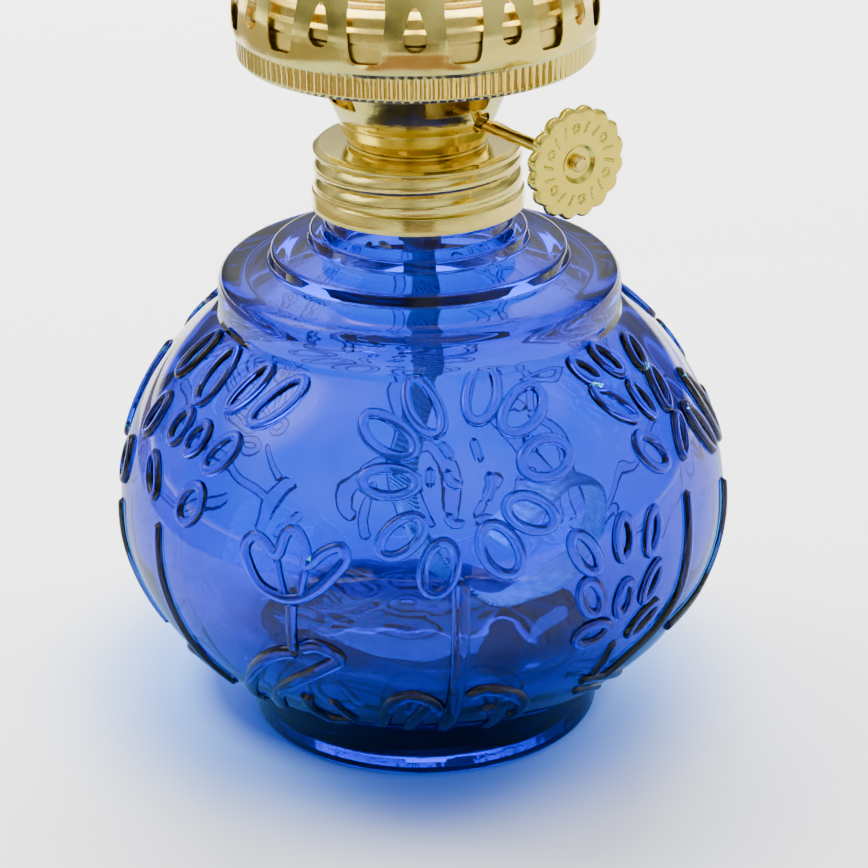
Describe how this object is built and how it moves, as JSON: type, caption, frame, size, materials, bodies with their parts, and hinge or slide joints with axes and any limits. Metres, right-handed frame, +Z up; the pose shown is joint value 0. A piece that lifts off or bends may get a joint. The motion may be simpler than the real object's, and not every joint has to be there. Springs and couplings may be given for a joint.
{
  "type": "oil lamp",
  "caption": "Flat-wick table oil lamp: embossed blue glass font, screw-on brass burner with side winder, pronged gallery and clear glass chimney.",
  "frame": {"origin": "centre of the font's foot, on the surface that the lamp stands on", "axes": "+Z up along the lamp's axis; the winder knob is towards +X and -Y"},
  "size_m": [0.1116, 0.1116, 0.292],
  "materials": {
    "blue_glass": "clear cobalt glass, pressed relief",
    "clear_glass": "clear, fire polished",
    "brass": "bright brass plate, lacquered",
    "cork": "matt sealing washer",
    "cotton": "woven flat wick"
  },
  "bodies": {
    "base": {"font": "blue_glass"},
    "seal": {"cap_liner": "cork"},
    "burner": {"burner_cap": "brass", "base_plate": "brass", "burner_cup": "brass", "air_plate": "brass", "gallery": "brass", "flame_spreader": "brass", "wick_tube": "brass", "spindle_bracket": "brass", "wick_tail": "cotton"},
    "winder": {"spindle": "brass", "spur_wheel_inner": "brass", "spur_wheel_outer": "brass", "winder_knob": "brass"},
    "wick_feed": {"wick": "cotton"},
    "chimney": {"chimney": "clear_glass"}
  },
  "joints": [
    {"name": "burner_lift", "type": "slide", "parent": "base", "child": "seal", "axis": [0, 0, 1], "range_m": [0, 0.00876]},
    {"name": "burner_turn", "type": "hinge", "parent": "seal", "child": "burner", "pos_m": [0, 0, 0.1], "axis": [0, 0, 1], "range_deg": [0, 900]},
    {"name": "knob_turn", "type": "hinge", "parent": "burner", "child": "winder", "pos_m": [0.0033, 0.00227, 0.1168], "axis": [-0.5664, 0.8241, 0], "range_deg": [-270, 135]},
    {"name": "wick_slide", "type": "slide", "parent": "burner", "child": "wick_feed", "axis": [0, 0, 1], "range_m": [-0.0151, 0.00755], "deforming": ["wick_tail"]},
    {"name": "chimney_lift", "type": "slide", "parent": "burner", "child": "chimney", "axis": [0, 0, 1], "range_m": [0, 0.06]}
  ],
  "couplings": [
    {"joint": "burner_lift", "follows": "burner_turn", "m_per_rad": 0.00055704},
    {"joint": "wick_slide", "follows": "knob_turn", "m_per_rad": 0.0032}
  ]
}
